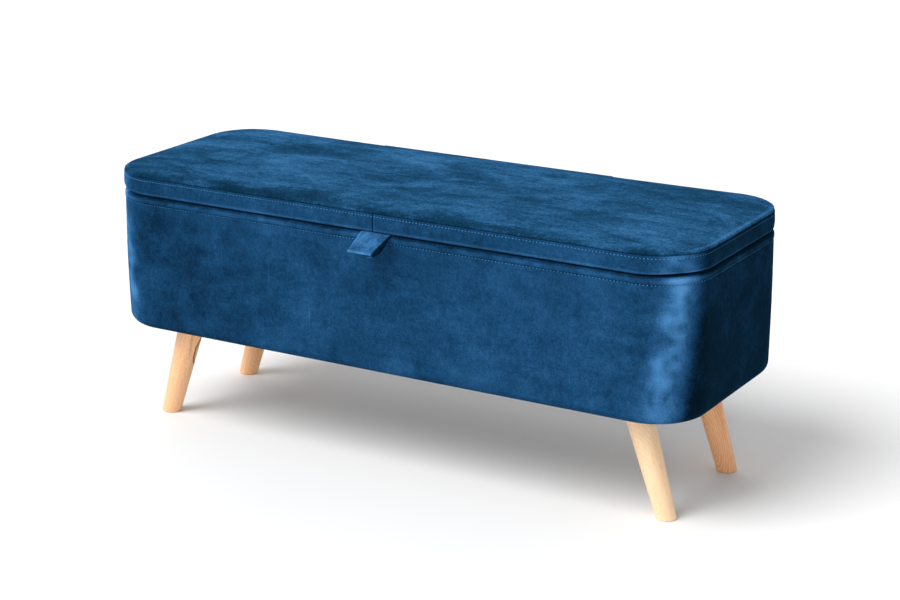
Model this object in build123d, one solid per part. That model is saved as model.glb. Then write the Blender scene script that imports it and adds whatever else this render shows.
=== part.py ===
from build123d import *
from math import cos, radians, sin
import os

# Storage bench: a velvet-covered box with rounded corners, a padded lid hinged along
# its back edge, a fabric pull tab, and four splayed round legs. All sizes in millimetres.
# +X runs along the bench, +Y to its back, +Z up. Every piece is built about the middle
# of the box's plan, then moved back by MIDDLE_Y, which puts the origin on the floor
# under the middle of the whole bench, counting its tab and its hinge barrels.

# Driving dimensions
LENGTH = 1100.0          # over the velvet, end to end
DEPTH = 400.0            # over the velvet, front to back
CORNER_R = 92.0          # plan radius of the corners
BODY_BOTTOM = 178.0      # underside of the box
RIM_TOP = 415.0          # top of the box's rim
LID_BOTTOM = 419.0       # underside of the closed lid
BAND_TOP = 449.0         # seam between the lid's side band and its top panel
SHOULDER_TOP = 457.0     # where the lid's shoulder turns into its crowned top
CROWN = 6.5              # rise of the lid's middle above its shoulder

# Rounded edges
BODY_EDGE_R = 18.0
RIM_EDGE_R = 5.0
LID_EDGE_R = 6.0
SHOULDER_R = 14.0

# Thicknesses
VELVET = 1.5
FOAM = 8.3
PANEL = 12.0
BOARD = 15.0
RAIL_HEIGHT = 19.8
RAIL_WIDTH = 30.0
FLOOR_BOARD = 6.0
LINING = 0.8
DUST_COVER = 0.6
CLEAR = 0.2              # gap between pieces that are glued or stapled together

# Insets from the outer face of the velvet
FOAM_IN = VELVET + CLEAR
PANEL_IN = FOAM_IN + FOAM + CLEAR
CAVITY_IN = PANEL_IN + PANEL
LINING_IN = CAVITY_IN + CLEAR
RIM_SEAM = 403.0         # seam under the rim's strip of velvet
RIM_FLAP_LOW = 375.0     # how far that strip hangs down inside
HEM = 36.0               # velvet turned under the box, from its outer face
FRAME_LOW = BODY_BOTTOM + VELVET + FOAM + 2 * CLEAR
PANEL_TOP = RIM_TOP - VELVET - CLEAR
FLOOR_LOW = FRAME_LOW + RAIL_HEIGHT + CLEAR
FLOOR_TOP = FLOOR_LOW + FLOOR_BOARD

# Legs
LEG_X = 488.7            # foot centre
LEG_Y = 117.0
LEG_LEAN = 17.5          # splay, outwards along the bench only
LEG_LENGTH = 184.0       # along the leg's own axis
FOOT_R = 16.5
LEG_TOP_R = 23.0
FOOT_EDGE_R = 2.5
BOLT_R = 4.0
BOLT_LENGTH = 60.0
BOLT_IN_LEG = 35.0
FIT = 0.1                # clearance round bolts, dowels and screws
PLATE_SIZE = 64.0
PLATE = 2.6
PLATE_X = 430.5
PLATE_HOLE = 24.0        # screw holes from the plate's centre
BOSS_R = 21.0
SCREW_R = 1.9
SCREW_HEAD_R = 3.6
SCREW_HEAD = 2.2
SCREW_LENGTH = 16.0

# Dowels across the joints of panels and corner shells
DOWEL_R = 3.0
DOWEL_LENGTH = 30.0
DOWEL_IN_SHELL = 12.0
DOWEL_LEVELS = (235.0, 305.0, 375.0)

# Hinges
HINGE_X = 300.0
HINGE_LENGTH = 76.0
BARREL_R = 3.4
PIN_R = 1.6
PIN_HOLE_R = 1.65
LEAF = 1.4
LEAF_FRONT = 178.5       # the leaves' front edge
KNUCKLES = 5
KNUCKLE_GAP = 0.4
HINGE_Y = DEPTH / 2 + BARREL_R + 0.5
HINGE_Z = (RIM_TOP + LID_BOTTOM) / 2
LEAF_SCREW_Y = DEPTH / 2 - PANEL_IN - PANEL / 2
LEAF_SCREW_SPACING = 26.0
LEAF_SCREW_R = 1.5
LEAF_SCREW_HEAD_R = 2.9
LEAF_SCREW_LENGTH = 14.0

# Pull tab
TAB_X = 5.0
TAB_WIDTH = 52.0
TAB_THICK = 4.0
TAB_REACH = 46.0
TAB_DROOP = 29.0
TAB_ROOT_R = 1.5
TAB_ROOT_Y = -DEPTH / 2 - 1.5
TAIL_THICK = 3.0
TAIL_LENGTH = 40.0

# Lid layers
WADDING = 5.0            # foam between the board's edge and the velvet
BOARD_IN = VELVET + CLEAR + WADDING
BOARD_LOW = LID_BOTTOM + LINING + VELVET
LID_HEM = 30.0
BUMPER_R = 5.0
BUMPER_X = 420.0

# The box's middle lies this far behind the origin
TAB_FRONT = -TAB_ROOT_Y + TAB_REACH * cos(radians(TAB_DROOP)) + TAB_THICK / 2
MIDDLE_Y = (TAB_FRONT - HINGE_Y - BARREL_R) / 2

CORNERS = [(sx, sy) for sx in (-1, 1) for sy in (-1, 1)]
SIDE = {-1: "left", 1: "right"}
FACE = {-1: "front", 1: "back"}


# Shapes shared by several pieces

def plan(inset, level):
    """The bench's rounded rectangle at a height, pulled in by inset."""
    radius = max(CORNER_R - inset, 8.0)
    outline = RectangleRounded(LENGTH - 2 * inset, DEPTH - 2 * inset, radius)
    return Pos(0, 0, level) * outline


def prism(inset, low, high):
    """A straight-sided slab of the bench's plan."""
    return extrude(plan(inset, low), high - low)


def soften(part, level, radius):
    """Round the edges of a prism that lie at one height."""
    edges = part.edges().filter_by_position(Axis.Z, level - 0.01, level + 0.01)
    return fillet(edges, radius)


def tub(inset, low, high, radius):
    """A prism with its bottom edge rounded."""
    return soften(prism(inset, low, high), low, radius)


def region(x_low, x_high, y_low, y_high, z_low=0.0, z_high=600.0):
    """A box between two corners, used to cut pieces apart."""
    size = (x_high - x_low, y_high - y_low, z_high - z_low)
    centre = ((x_high + x_low) / 2, (y_high + y_low) / 2, (z_high + z_low) / 2)
    return Pos(*centre) * Box(*size)


def peg(radius, start, direction, length):
    """A round rod from a point along a direction."""
    return extrude(Plane(start, z_dir=direction) * Circle(radius), length)


STRAIGHT_X = LENGTH / 2 - CORNER_R
STRAIGHT_Y = DEPTH / 2 - CORNER_R
FAR = LENGTH


# Fasteners and the holes they need

def dowel_group(radius):
    """Three dowels across each joint between a flat panel and a corner shell."""
    middle_x = LENGTH / 2 - PANEL_IN - PANEL / 2
    middle_y = DEPTH / 2 - PANEL_IN - PANEL / 2
    dowels = []
    for sx, sy in CORNERS:
        for level in DOWEL_LEVELS:
            start = Vector(sx * (STRAIGHT_X + DOWEL_IN_SHELL), sy * middle_y, level)
            dowels.append(peg(radius, start, (-sx, 0, 0), DOWEL_LENGTH))
            start = Vector(sx * middle_x, sy * (STRAIGHT_Y + DOWEL_IN_SHELL), level)
            dowels.append(peg(radius, start, (0, -sy, 0), DOWEL_LENGTH))
    return dowels


def leg_axis(sx, along):
    """The point of a leg's axis at a distance from its foot."""
    lean = radians(LEG_LEAN)
    return sx * (LEG_X - along * sin(lean)), along * cos(lean)


def leg_plane(sx, sy, along):
    """A plane across a leg's axis, at a distance from its foot, facing up the leg."""
    x, z = leg_axis(sx, along)
    lean = radians(LEG_LEAN)
    across = (cos(lean), 0, sx * sin(lean))
    return Plane((x, sy * LEG_Y, z), x_dir=across, z_dir=(-sx * sin(lean), 0, cos(lean)))


def bolt(sx, sy, radius, extra=0.0):
    """A hanger bolt, or the hole for one."""
    start = leg_plane(sx, sy, LEG_LENGTH - BOLT_IN_LEG - extra)
    return extrude(start * Circle(radius), BOLT_LENGTH + 2 * extra)


def plate_screw_places():
    """Centres of the screws that hold the four leg plates."""
    return [
        (sx * (PLATE_X + dx * PLATE_HOLE), sy * LEG_Y + dy * PLATE_HOLE)
        for sx, sy in CORNERS for dx, dy in CORNERS
    ]


def plate_screws(radius):
    """Shanks of the leg-plate screws, from the underside of the plates."""
    low = FRAME_LOW - PLATE
    return [peg(radius, (x, y, low), (0, 0, 1), SCREW_LENGTH) for x, y in plate_screw_places()]


def leaf_screw_places():
    """Centres of the hinge screws, the same for both leaves."""
    return [(sx * HINGE_X + n * LEAF_SCREW_SPACING, LEAF_SCREW_Y) for sx in (-1, 1) for n in (-1, 0, 1)]


def leaf_screws(up, extra=0.0):
    """Countersunk hinge screws: down into the box, or up into the lid."""
    face = HINGE_Z + up * 0.5
    head_r = LEAF_SCREW_HEAD_R + extra
    shank_r = LEAF_SCREW_R + extra
    screws = []
    for x, y in leaf_screw_places():
        plane = Plane((x, y, face), z_dir=(0, 0, up))
        head = loft([plane * Circle(head_r), plane.offset(LEAF) * Circle(shank_r)])
        shank = extrude(plane * Circle(shank_r), LEAF_SCREW_LENGTH + extra)
        screws.append(head + shank)
    return screws


# The box

def panel_wall():
    """All eight panels and shells of the box as one ring."""
    outside = tub(PANEL_IN, FRAME_LOW, PANEL_TOP, BODY_EDGE_R - PANEL_IN)
    return outside - prism(CAVITY_IN, FRAME_LOW - 1, PANEL_TOP + 1)


def make_panels():
    """Four flat panels and four bent corner shells, with their dowel holes."""
    wall = panel_wall()
    holes = dowel_group(DOWEL_R + FIT)
    screws = leaf_screws(-1, FIT)
    pieces = {}
    for s in (-1, 1):
        face = region(-STRAIGHT_X, STRAIGHT_X, min(0, s * FAR), max(0, s * FAR))
        pieces[FACE[s] + "_panel"] = wall & face
        end = region(min(0, s * FAR), max(0, s * FAR), -STRAIGHT_Y, STRAIGHT_Y)
        pieces[SIDE[s] + "_end_panel"] = wall & end
    pieces["back_panel"] = pieces["back_panel"] - screws
    for sx, sy in CORNERS:
        quarter = region(
            min(sx * STRAIGHT_X, sx * FAR), max(sx * STRAIGHT_X, sx * FAR),
            min(sy * STRAIGHT_Y, sy * FAR), max(sy * STRAIGHT_Y, sy * FAR),
        )
        pieces[f"corner_shell_{FACE[sy]}_{SIDE[sx]}"] = wall & quarter
    return {name: piece - holes for name, piece in pieces.items()}


def make_base_frame():
    """Rails round the bottom of the box, a middle rail, and a block over each leg."""
    low, high = FRAME_LOW, FRAME_LOW + RAIL_HEIGHT
    edge_x = LENGTH / 2 - LINING_IN
    edge_y = DEPTH / 2 - LINING_IN
    inner_y = edge_y - RAIL_WIDTH
    block_y = (LEG_Y - 37.0, inner_y - CLEAR)
    block_x = (PLATE_X - 60.0, edge_x - RAIL_WIDTH - CLEAR)
    pieces = {}
    for s in (-1, 1):
        y_low, y_high = sorted((s * inner_y, s * edge_y))
        pieces["base_rail_" + FACE[s]] = region(-STRAIGHT_X, STRAIGHT_X, y_low, y_high, low, high)
        x_low, x_high = sorted((s * (edge_x - RAIL_WIDTH), s * edge_x))
        pieces["base_rail_" + SIDE[s]] = region(x_low, x_high, -STRAIGHT_Y, STRAIGHT_Y, low, high)
    reach = inner_y - CLEAR
    pieces["base_rail_middle"] = region(-RAIL_WIDTH / 2, RAIL_WIDTH / 2, -reach, reach, low, high)
    for sx, sy in CORNERS:
        x_low, x_high = sorted(sx * x for x in block_x)
        y_low, y_high = sorted(sy * y for y in block_y)
        block = region(x_low, x_high, y_low, y_high, low, high)
        block = block - bolt(sx, sy, BOLT_R + FIT, 1.0) - plate_screws(SCREW_R + FIT)
        pieces[f"leg_block_{FACE[sy]}_{SIDE[sx]}"] = block
    return pieces


def make_floor():
    """The board that the stored things lie on, and the linings of the box."""
    lining_in = LINING_IN + LINING
    wall_low = FLOOR_TOP + CLEAR
    return {
        "floor_board": prism(LINING_IN, FLOOR_LOW, FLOOR_TOP),
        "floor_lining": prism(lining_in + CLEAR, wall_low, wall_low + LINING),
        "side_lining": prism(LINING_IN, wall_low, RIM_FLAP_LOW - CLEAR) - prism(lining_in, 0, RIM_TOP),
    }


def foam_wall():
    """Foam round the box and turned under its bottom edge."""
    outside = tub(FOAM_IN, BODY_BOTTOM + FOAM_IN, PANEL_TOP, BODY_EDGE_R - FOAM_IN)
    outside = soften(outside, PANEL_TOP, RIM_EDGE_R - FOAM_IN)
    core_in = FOAM_IN + FOAM
    core = tub(core_in, FRAME_LOW - CLEAR, RIM_TOP, BODY_EDGE_R - core_in)
    return outside - core - prism(HEM + 4.0, 0, RIM_TOP)


def make_body_foam():
    """Two straight pieces of foam and two that go round the ends."""
    wall = foam_wall()
    pieces = {}
    for s in (-1, 1):
        face = region(-STRAIGHT_X, STRAIGHT_X, min(0, s * FAR), max(0, s * FAR))
        pieces["body_foam_" + FACE[s]] = wall & face
        x_low, x_high = sorted((s * STRAIGHT_X, s * FAR))
        pieces["body_foam_" + SIDE[s]] = wall & region(x_low, x_high, -FAR, FAR)
    return pieces


def make_body_cover():
    """The velvet of the box: its sides and the hem stapled underneath."""
    outside = tub(0, BODY_BOTTOM, RIM_SEAM, BODY_EDGE_R)
    inside = tub(VELVET, BODY_BOTTOM + VELVET, RIM_TOP, BODY_EDGE_R - VELVET)
    return outside - inside - prism(HEM, 0, RIM_TOP)


def make_rim_band():
    """The strip of velvet that goes over the rim and down inside."""
    inner_face = LINING_IN + VELVET
    outside = soften(prism(0, RIM_SEAM + CLEAR, RIM_TOP), RIM_TOP, RIM_EDGE_R)
    cap = outside - prism(inner_face, 0, FAR)
    under = soften(prism(VELVET, RIM_SEAM - 1, RIM_TOP - VELVET), RIM_TOP - VELVET, RIM_EDGE_R - VELVET)
    strip = cap - (under - prism(LINING_IN, 0, FAR))
    flap = prism(LINING_IN, RIM_FLAP_LOW, RIM_SEAM + 2) - prism(inner_face, 0, FAR)
    band = strip + flap
    top_inner = band.edges().filter_by_position(Axis.Z, RIM_TOP - 0.01, RIM_TOP + 0.01)
    inner_edges = [e for e in top_inner if abs(e.center().Y) < DEPTH / 2 - 15 and abs(e.center().X) < LENGTH / 2 - 15]
    band = fillet(inner_edges, 1.2)
    return band - leaf_screws(-1, FIT)


def make_dust_cover():
    """Thin black cloth across the underside, cut out round the legs."""
    high = BODY_BOTTOM - CLEAR
    sheet = prism(HEM - 10.0, high - DUST_COVER, high)
    for sx, sy in CORNERS:
        x, _ = leg_axis(sx, high / cos(radians(LEG_LEAN)))
        sheet = sheet - Pos(x, sy * LEG_Y, high) * Cylinder(LEG_TOP_R + 4.0, 20.0)
    return sheet


# Legs

def make_leg(sx, sy):
    """A turned, tapered leg with a level foot and a hole for its bolt."""
    below = 12.0
    slope = (LEG_TOP_R - FOOT_R) / LEG_LENGTH
    low = leg_plane(sx, sy, -below) * Circle(FOOT_R - slope * below)
    high = leg_plane(sx, sy, LEG_LENGTH) * Circle(LEG_TOP_R)
    leg = loft([low, high]) & region(-FAR, FAR, -FAR, FAR, 0, 300)
    leg = soften(leg, 0, FOOT_EDGE_R)
    leg = leg - bolt(sx, sy, BOLT_R + FIT, 1.0)
    if (sx, sy) == (-1, -1):
        leg = leg - wane(sx, sy)
    return leg


def wane(sx, sy):
    """The scooped hollow down the inner side of the front left leg."""
    start, stop = 96.0, LEG_LENGTH + 40.0
    x_low, z_low = leg_axis(sx, start)
    x_high, z_high = leg_axis(sx, stop)
    aside = 26.0
    foot = Vector(x_low + aside, sy * LEG_Y - 13.0, z_low)
    top = Vector(x_high + aside - 4.0, sy * LEG_Y - 9.0, z_high)
    plane = Plane(foot, z_dir=top - foot)
    return loft([plane * Circle(6.5), plane.offset((top - foot).length) * Circle(13.0)])


def make_leg_plate(sx, sy):
    """A steel plate with an angled boss that the leg's bolt screws into."""
    low = FRAME_LOW - PLATE
    x, y = sx * PLATE_X, sy * LEG_Y
    half = PLATE_SIZE / 2
    plate = extrude(Pos(x, y, low) * RectangleRounded(PLATE_SIZE, PLATE_SIZE, 6.0), PLATE)
    boss = extrude(leg_plane(sx, sy, LEG_LENGTH + CLEAR) * Circle(BOSS_R), 40.0)
    boss = boss & region(x - half, x + half, y - half, y + half, 0, FRAME_LOW)
    return plate + boss - bolt(sx, sy, BOLT_R + FIT, 1.0) - plate_screws(SCREW_R + FIT)


def make_plate_screws():
    """Pan-head screws of all four leg plates."""
    low = FRAME_LOW - PLATE
    heads = [
        peg(SCREW_HEAD_R, (x, y, low - SCREW_HEAD), (0, 0, 1), SCREW_HEAD - 0.02)
        for x, y in plate_screw_places()
    ]
    shanks = [peg(SCREW_R, (x, y, low - 1.0), (0, 0, 1), SCREW_LENGTH + 0.5) for x, y in plate_screw_places()]
    return [head + shank for head, shank in zip(heads, shanks)]


# Hinges

def make_hinge_leaf(sx, up):
    """One leaf with its knuckles: the box's has three, the lid's has two between them."""
    pitch = HINGE_LENGTH / KNUCKLES
    first = 0 if up < 0 else 1
    face = HINGE_Z + up * 0.5
    z_low, z_high = sorted((face, face + up * LEAF))
    left = sx * HINGE_X - HINGE_LENGTH / 2
    leaf = region(left, left + HINGE_LENGTH, LEAF_FRONT, HINGE_Y - BARREL_R - 0.4, z_low, z_high)
    for n in range(first, KNUCKLES, 2):
        x_low = left + n * pitch + KNUCKLE_GAP / 2
        x_high = left + (n + 1) * pitch - KNUCKLE_GAP / 2
        tongue = region(x_low, x_high, HINGE_Y - BARREL_R - 1.0, HINGE_Y, z_low, z_high)
        knuckle = peg(BARREL_R, (x_low, HINGE_Y, HINGE_Z), (1, 0, 0), x_high - x_low)
        leaf = leaf + tongue + knuckle
    pin_hole = peg(PIN_HOLE_R, (left - 1, HINGE_Y, HINGE_Z), (1, 0, 0), HINGE_LENGTH + 2)
    return leaf - pin_hole - leaf_screws(up, 0.05)


def make_hinge_pin(sx):
    """The pin of one hinge."""
    left = sx * HINGE_X - HINGE_LENGTH / 2
    return peg(PIN_R, (left + 0.2, HINGE_Y, HINGE_Z), (1, 0, 0), HINGE_LENGTH - 0.4)


# The lid

def lid_outline(layer):
    """Inset and height of the lid's side, shoulder and crown, at a depth below its skin."""
    low = LID_BOTTOM + LINING
    points = []
    for degrees in (90, 60, 30, 0):
        a = radians(degrees)
        r = LID_EDGE_R - layer
        points.append((LID_EDGE_R - r * cos(a), low + LID_EDGE_R - r * sin(a)))
    for degrees in (0, 20, 40, 60, 80):
        a = radians(degrees)
        r = SHOULDER_R - layer
        points.append((SHOULDER_R - r * cos(a), SHOULDER_TOP - SHOULDER_R + r * sin(a)))
    span = DEPTH / 2 - SHOULDER_R
    for inset in (26.0, 60.0, 105.0, 150.0, 190.0):
        rise = CROWN * (1 - ((DEPTH / 2 - inset) / span) ** 2)
        points.append((inset, SHOULDER_TOP - layer + rise))
    return points


def lid_form(layer):
    """The lid's crowned outer form, a layer below its skin."""
    return loft([plan(inset, level) for inset, level in lid_outline(layer)], ruled=True)


def make_lid():
    """Board, foam, velvet and lining of the lid."""
    skin = lid_form(0) - lid_form(VELVET)
    above = region(-FAR, FAR, -FAR, FAR, BAND_TOP)
    below = region(-FAR, FAR, -FAR, FAR, 0, BAND_TOP - CLEAR)
    low = BOARD_LOW + CLEAR
    board = prism(BOARD_IN, low, low + BOARD)
    foam = lid_form(VELVET + CLEAR) & region(-FAR, FAR, -FAR, FAR, low)
    foam = foam - prism(BOARD_IN - CLEAR, 0, low + BOARD + CLEAR)
    band = (skin & below) - prism(LID_HEM, 0, LID_BOTTOM + 10)
    lining_top = LID_BOTTOM + LINING - CLEAR
    lining = prism(LID_EDGE_R + 8.0, LID_BOTTOM + 0.05, lining_top)
    screws = leaf_screws(1, FIT)
    return {
        "lid_board": board - screws,
        "lid_foam": foam,
        "lid_top_cover": skin & above,
        "lid_band": band - screws,
        "lid_lining": lining - screws,
    }


def make_bumpers():
    """Rubber discs under the lid that rest on the rim."""
    inset = PANEL_IN + PANEL / 2
    y = DEPTH / 2 - inset
    thick = LID_BOTTOM - RIM_TOP - CLEAR
    return [
        peg(BUMPER_R, (sx * BUMPER_X, sy * y, LID_BOTTOM - thick), (0, 0, 1), thick)
        for sx, sy in CORNERS
    ]


# The pull tab

def make_tab():
    """The part of the tab that shows: a folded loop that droops from the gap."""
    droop = radians(TAB_DROOP)
    out = Vector(0, -cos(droop), -sin(droop))
    root = Vector(TAB_X - TAB_WIDTH / 2, TAB_ROOT_Y, HINGE_Z)
    end = root + out * TAB_REACH
    hinge_roll = peg(TAB_ROOT_R, root, (1, 0, 0), TAB_WIDTH)
    fold = peg(TAB_THICK / 2, end, (1, 0, 0), TAB_WIDTH)
    up = Vector(0, -sin(droop), cos(droop))
    corners = [
        root + up * TAB_ROOT_R, end + up * (TAB_THICK / 2),
        end - up * (TAB_THICK / 2), root - up * TAB_ROOT_R,
    ]
    side = Face(Wire.make_polygon(corners, close=True))
    slab = extrude(side, TAB_WIDTH, dir=(1, 0, 0))
    return slab + hinge_roll + fold


def make_tab_tail():
    """The flat end of the tab, stapled under the lid."""
    y_low = TAB_ROOT_Y + TAB_ROOT_R + 0.4
    z = HINGE_Z
    half = TAIL_THICK / 2
    return region(
        TAB_X - TAB_WIDTH / 2, TAB_X + TAB_WIDTH / 2, y_low, y_low + TAIL_LENGTH, z - half, z + half
    )


# Everything, one file per piece

def make_all():
    pieces = {}
    pieces.update(make_panels())
    pieces.update(make_base_frame())
    pieces.update(make_floor())
    pieces.update(make_body_foam())
    pieces["panel_dowels"] = dowel_group(DOWEL_R)
    pieces["body_cover"] = make_body_cover()
    pieces["rim_band"] = make_rim_band()
    pieces["dust_cover"] = make_dust_cover()
    for sx, sy in CORNERS:
        place = f"{FACE[sy]}_{SIDE[sx]}"
        pieces["leg_" + place] = make_leg(sx, sy)
        pieces["leg_plate_" + place] = make_leg_plate(sx, sy)
    pieces["leg_plate_screws"] = make_plate_screws()
    pieces["hanger_bolts"] = [bolt(sx, sy, BOLT_R) for sx, sy in CORNERS]
    for sx in (-1, 1):
        pieces["hinge_body_leaf_" + SIDE[sx]] = make_hinge_leaf(sx, -1)
        pieces["hinge_lid_leaf_" + SIDE[sx]] = make_hinge_leaf(sx, 1)
        pieces["hinge_pin_" + SIDE[sx]] = make_hinge_pin(sx)
    pieces["hinge_body_screws"] = leaf_screws(-1)
    pieces["hinge_lid_screws"] = leaf_screws(1)
    pieces.update(make_lid())
    pieces["lid_bumpers"] = make_bumpers()
    pieces["pull_tab"] = make_tab()
    pieces["pull_tab_tail"] = make_tab_tail()
    return pieces


def save(name, piece):
    """Write one node, as a single solid or a group of like solids."""
    group = piece if isinstance(piece, list) else [piece]
    solids = [Pos(0, MIDDLE_Y, 0) * solid for item in group for solid in item.solids()]
    whole = solids[0] if len(solids) == 1 else Compound(children=solids)
    export_step(whole, f"parts/{name}.step")


os.makedirs("parts", exist_ok=True)
for node, piece in make_all().items():
    save(node, piece)
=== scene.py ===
from math import atan2, copysign, cos, dist, exp, pi, radians, sin, sqrt

import bmesh
import bpy
from mathutils import Matrix, Vector, noise


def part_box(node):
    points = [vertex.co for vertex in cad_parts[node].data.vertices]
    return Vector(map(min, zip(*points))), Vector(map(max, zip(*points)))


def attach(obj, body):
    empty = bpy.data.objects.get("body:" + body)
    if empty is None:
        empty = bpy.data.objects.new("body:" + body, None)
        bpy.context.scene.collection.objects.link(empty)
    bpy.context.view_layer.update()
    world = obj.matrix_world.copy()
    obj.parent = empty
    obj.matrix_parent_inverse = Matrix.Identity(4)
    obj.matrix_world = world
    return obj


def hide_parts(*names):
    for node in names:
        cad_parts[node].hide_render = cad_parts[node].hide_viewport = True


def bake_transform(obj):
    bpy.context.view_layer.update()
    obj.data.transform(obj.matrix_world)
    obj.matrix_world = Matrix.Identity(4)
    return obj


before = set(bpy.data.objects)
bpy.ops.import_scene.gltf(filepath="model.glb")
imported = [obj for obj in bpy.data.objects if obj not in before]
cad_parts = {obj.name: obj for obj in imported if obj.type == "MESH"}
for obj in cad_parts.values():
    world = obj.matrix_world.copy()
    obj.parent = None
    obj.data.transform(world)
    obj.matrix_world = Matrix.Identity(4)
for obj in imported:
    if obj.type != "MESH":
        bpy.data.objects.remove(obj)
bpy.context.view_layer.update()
scene = bpy.context.scene

# Sizes in metres, taken from the frame
MM = 0.001
box_low, box_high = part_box("body_cover")
rim_low, rim_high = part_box("rim_band")
band_low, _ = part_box("lid_band")
top_low, top_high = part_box("lid_top_cover")
tab_low, tab_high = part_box("pull_tab")
tail_low, tail_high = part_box("pull_tab_tail")
MIDDLE_Y = (box_low.y + box_high.y) / 2
HALF_X = box_high.x
HALF_Y = box_high.y - MIDDLE_Y
CORNER_R = 92 * MM
CORE_X = HALF_X - CORNER_R
CORE_Y = HALF_Y - CORNER_R
BEND = CORNER_R * pi / 2
PERIMETER = 4 * (CORE_X + CORE_Y) + 4 * BEND
CORE = [
    Vector((sx * CORE_X, MIDDLE_Y + sy * CORE_Y, 0))
    for sx, sy in ((-1, -1), (1, -1), (1, 1), (-1, 1))
]

# Heights and edges of the velvet
UNDERSIDE = box_low.z
RIM_SEAM = box_high.z + 1.4 * MM
RIM_TOP = rim_high.z
FLAP_LOW = rim_low.z
LID_UNDER = band_low.z - 1.6 * MM
LID_SEAM = top_low.z
SHOULDER_WIDE = 26 * MM
SHOULDER_TOP = LID_SEAM + 8.2 * MM
BODY_EDGE_R = 18 * MM
LID_EDGE_R = 4 * MM
CLOTH = 1.2 * MM
COLUMN = 5.5 * MM
RIM_STITCH = RIM_SEAM - 1.6 * MM
LID_STITCH = LID_SEAM - 4.5 * MM

# Stitches and staples: sizes are along the row, outwards and upwards
STITCH_PITCH = 6.0 * MM
STITCH_SIZE = (1.2 * MM, 0.55 * MM, 0.65 * MM)
STITCH_SINK = 0.45 * MM
STAPLE_SIZE = (10.5 * MM, 1.2 * MM, 0.6 * MM)
STAPLE_MARGIN = 7 * MM
STAPLE_DROP = 0.2 * MM
BOX_STAPLE_PITCH = 42 * MM
LID_STAPLE_PITCH = 55 * MM

# The pull tab, the legs and the floor they stand on
TAB_REACH = 48 * MM
TAB_HIDDEN = 26 * MM
TAB_DROOP = radians(29)
LEG_LEAN = radians(17.5)
LEG_HOLLOW = (-0.4294, MIDDLE_Y - 0.1095, 0.120)
FLOOR_HALF = 30.0
CLOTH_FRAMES = 20


# The plan of the bench

def clamp(value, limit):
    """A value kept between minus a limit and plus it."""
    return max(-limit, min(limit, value))


def outward(co):
    """The way out of the plan at a point, and how far inside the outline the point lies."""
    core = Vector((clamp(co.x, CORE_X), MIDDLE_Y + clamp(co.y - MIDDLE_Y, CORE_Y), 0))
    away = Vector((co.x, co.y, 0)) - core
    return away.normalized(), CORNER_R - away.length


def cornerness(co):
    """0 along the straight sides, rising to 1 in the middle of each rounded corner."""
    way, _ = outward(co)
    return min(1.0, 4 * (way.x * way.y) ** 2) if abs(way.x * way.y) > 1e-6 else 0.0


def around(distance, inset=0.0):
    """A point on the outline and the way out there, at a distance along it from the front's left end."""
    distance %= PERIMETER
    for side in range(4):
        start, stop = CORE[side], CORE[(side + 1) % 4]
        out = Matrix.Rotation(side * pi / 2, 3, "Z") @ Vector((0, -1, 0))
        straight = (stop - start).length
        if distance <= straight:
            centre = start.lerp(stop, distance / straight)
            break
        distance -= straight
        if distance <= BEND:
            centre = stop
            out = Matrix.Rotation(distance / CORNER_R, 3, "Z") @ out
            break
        distance -= BEND
    return centre + out * (CORNER_R - inset), out


# Making pieces

def only(kind, items):
    """The items of one kind."""
    return [item for item in items if isinstance(item, kind)]


def wrap(profile, column, fine=1 * MM, join_reach=4 * MM):
    """Carry an upright profile of (inset, height) points once round the plan, from the front's middle.

    Columns are a column apart, and finer beside the front's middle, where bands are joined.
    """
    bm = bmesh.new()
    verts = [bm.verts.new((0, MIDDLE_Y - HALF_Y + inset, level)) for inset, level in profile]
    line = verts + [bm.edges.new(pair) for pair in zip(verts, verts[1:])]

    def carry(line, move, step):
        """Extrude the profile along a straight move, in steps of about one size."""
        count = round(move.length / step)
        for _ in range(count):
            grown = bmesh.ops.extrude_edge_only(bm, edges=only(bmesh.types.BMEdge, line))
            verts = only(bmesh.types.BMVert, grown["geom"])
            fresh = set(verts)
            bmesh.ops.translate(bm, verts=verts, vec=move / count)
            edges = only(bmesh.types.BMEdge, grown["geom"])
            line = verts + [e for e in edges if fresh.issuperset(e.verts)]
        return line

    near = Vector((join_reach, 0, 0))
    line = carry(line, near, fine)
    line = carry(line, Vector((CORE_X, 0, 0)) - near, column)
    for corner in (1, 2, 3, 0):
        turned = bmesh.ops.spin(
            bm, geom=line, cent=CORE[corner], axis=(0, 0, 1), angle=pi / 2, steps=round(BEND / column)
        )
        line = turned["geom_last"]
        if corner:
            line = carry(line, CORE[(corner + 1) % 4] - CORE[corner], column)
    line = carry(line, Vector((CORE_X, 0, 0)) - near, column)
    carry(line, near, fine)
    bmesh.ops.remove_doubles(bm, verts=bm.verts, dist=0.01 * MM)
    face_out(bm)
    return bm


def face_out(bm):
    """Turn the faces of a shell round the bench so that its sides look outwards."""
    bmesh.ops.recalc_face_normals(bm, faces=bm.faces)
    bm.normal_update()
    facing = sum(f.normal.dot(outward(f.calc_center_median())[0]) * f.calc_area() for f in bm.faces)
    if facing < 0:
        bmesh.ops.reverse_faces(bm, faces=bm.faces)
        bm.normal_update()


def arc(centre_inset, centre_level, radius, start, stop, steps):
    """Points of a round edge in a profile. 0 degrees looks out of the bench and 90 looks up."""
    turns = [radians(start + (stop - start) * i / steps) for i in range(steps + 1)]
    return [(centre_inset - radius * cos(a), centre_level + radius * sin(a)) for a in turns]


def rise(inset, low, high, step):
    """Evenly spaced points up a straight stretch of a profile, without its ends."""
    count = max(2, round((high - low) / step))
    return [(inset, low + (high - low) * i / count) for i in range(1, count)]


def settle(bm, name):
    """Turn a bmesh into a mesh and free it."""
    mesh = bpy.data.meshes.new(name)
    bm.to_mesh(mesh)
    bm.free()
    return mesh


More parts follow.
